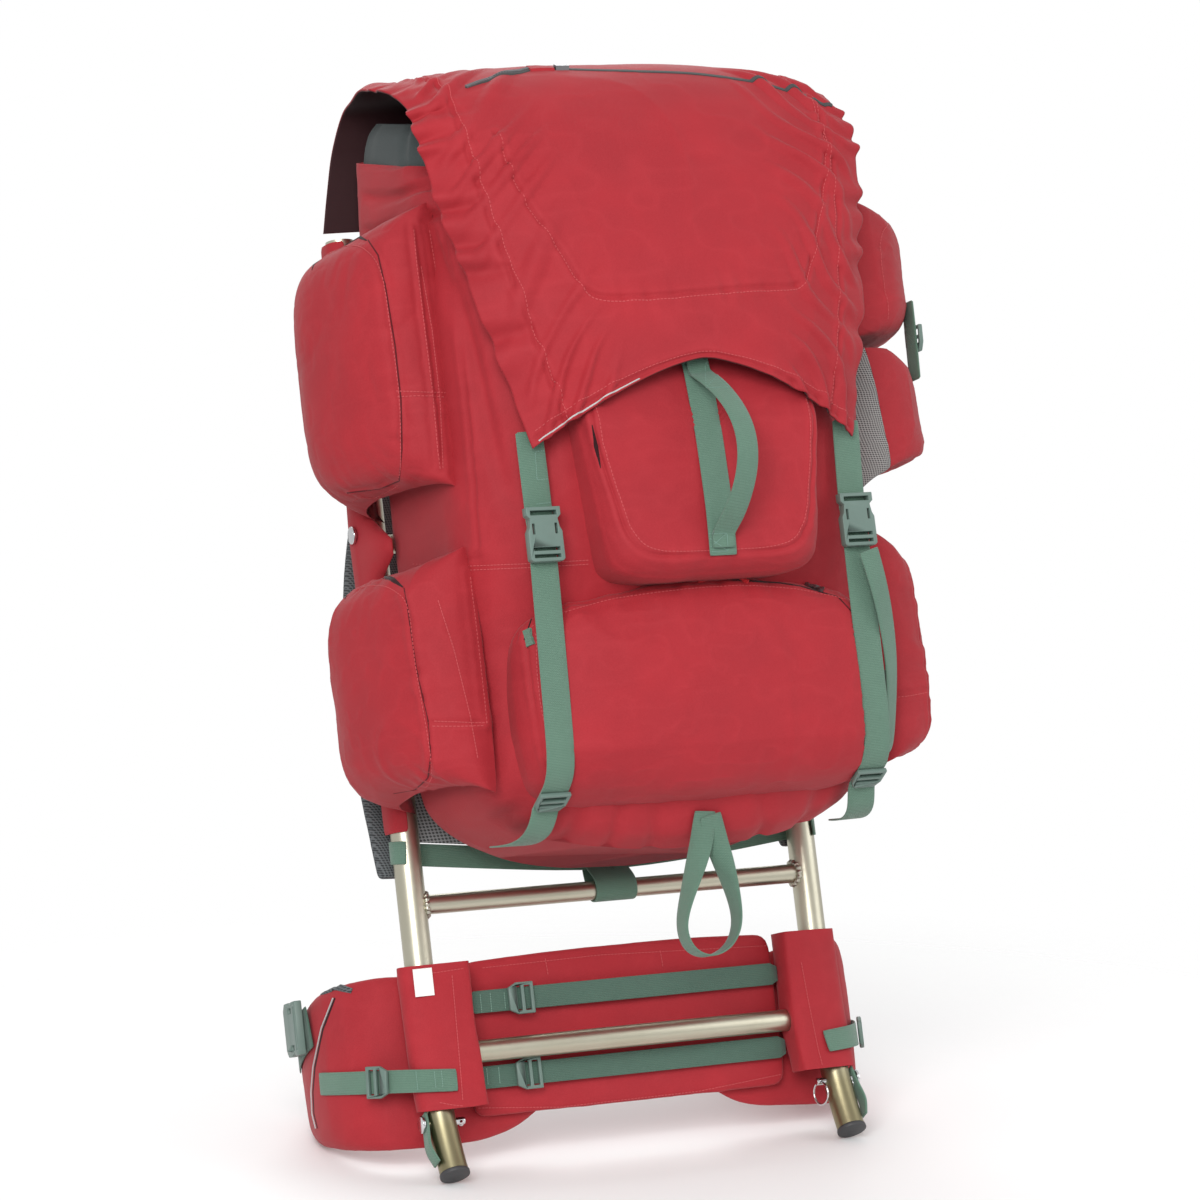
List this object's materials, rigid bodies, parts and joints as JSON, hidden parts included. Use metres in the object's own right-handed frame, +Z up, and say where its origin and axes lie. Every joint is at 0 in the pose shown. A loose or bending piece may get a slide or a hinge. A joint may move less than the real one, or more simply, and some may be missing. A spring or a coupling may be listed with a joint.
{
  "type": "external frame backpack",
  "caption": "Red cloth backpack on a bent and welded tube frame, with lid, side and front pockets, webbing straps, buckles, shoulder straps and padded hip belt.",
  "frame": {"origin": "middle of the bounding box at floor level, as the pack stands leaning back on its two feet and belt", "axes": "+Z is up, +Y points to the wearer's side, -Y is the side with the front pocket, +X is the side with the bottle pocket"},
  "size_m": [0.578, 0.4832, 0.9583],
  "materials": {
    "red_cloth": "woven coated nylon, matt, slightly puckered at the seams",
    "green_webbing": "flat woven webbing",
    "buckle_plastic": "moulded plastic, satin",
    "tube_aluminium": "anodised champagne tube",
    "cap_plastic": "moulded end cap",
    "grey_cloth": "thin coated nylon",
    "mesh_cloth": "open mesh and padded mesh",
    "chrome_steel": "bright plated steel",
    "white_cloth": "blank satin label"
  },
  "bodies": {
    "root": {"frame": "tube_aluminium", "foot_cap_left": "cap_plastic", "foot_cap_right": "cap_plastic", "main_bag": "red_cloth", "lid_flap": "red_cloth", "upper_pocket_left": "red_cloth", "upper_pocket_right": "red_cloth", "lower_pocket_left": "red_cloth", "lower_pocket_right": "red_cloth", "front_pocket": "red_cloth", "lower_compartment": "red_cloth", "side_flange_left": "red_cloth", "side_flange_right": "red_cloth", "bottle_pocket": "red_cloth", "rail_sleeve_left": "red_cloth", "rail_sleeve_right": "red_cloth", "belt_wing_left": "red_cloth", "belt_wing_right": "red_cloth", "lumbar_panel": "red_cloth", "collar": "grey_cloth", "bottle_mesh": "mesh_cloth", "back_band": "mesh_cloth", "shoulder_strap_left": "mesh_cloth", "shoulder_strap_right": "mesh_cloth", "handle_strip": "green_webbing", "grab_handle": "green_webbing", "lid_strap_left": "green_webbing", "lid_strap_right": "green_webbing", "bag_strap_left": "green_webbing", "bag_strap_right": "green_webbing", "strap_loop_right": "green_webbing", "bottle_strap": "green_webbing", "haul_loop": "green_webbing", "band_webbing": "green_webbing", "centre_tab": "green_webbing", "wing_strap_left": "green_webbing", "wing_strap_right": "green_webbing", "belt_strap_left": "green_webbing", "belt_strap_right": "green_webbing", "foot_tab_left": "green_webbing", "foot_tab_right": "green_webbing", "lumbar_strap_upper": "green_webbing", "lumbar_strap_lower": "green_webbing", "strap_buckle_left": "buckle_plastic", "strap_buckle_right": "buckle_plastic", "bag_lock_left": "buckle_plastic", "bag_lock_right": "buckle_plastic", "bottle_lock": "buckle_plastic", "wing_lock_left": "buckle_plastic", "wing_lock_right": "buckle_plastic", "belt_buckle_left": "buckle_plastic", "belt_buckle_right": "buckle_plastic", "lumbar_lock_upper": "buckle_plastic", "lumbar_lock_lower": "buckle_plastic", "foot_pin_left": "chrome_steel", "foot_pin_right": "chrome_steel", "split_ring_right": "chrome_steel", "bag_pin_left": "chrome_steel", "bag_pin_right": "chrome_steel", "blank_label": "white_cloth"}
  },
  "joints": []
}
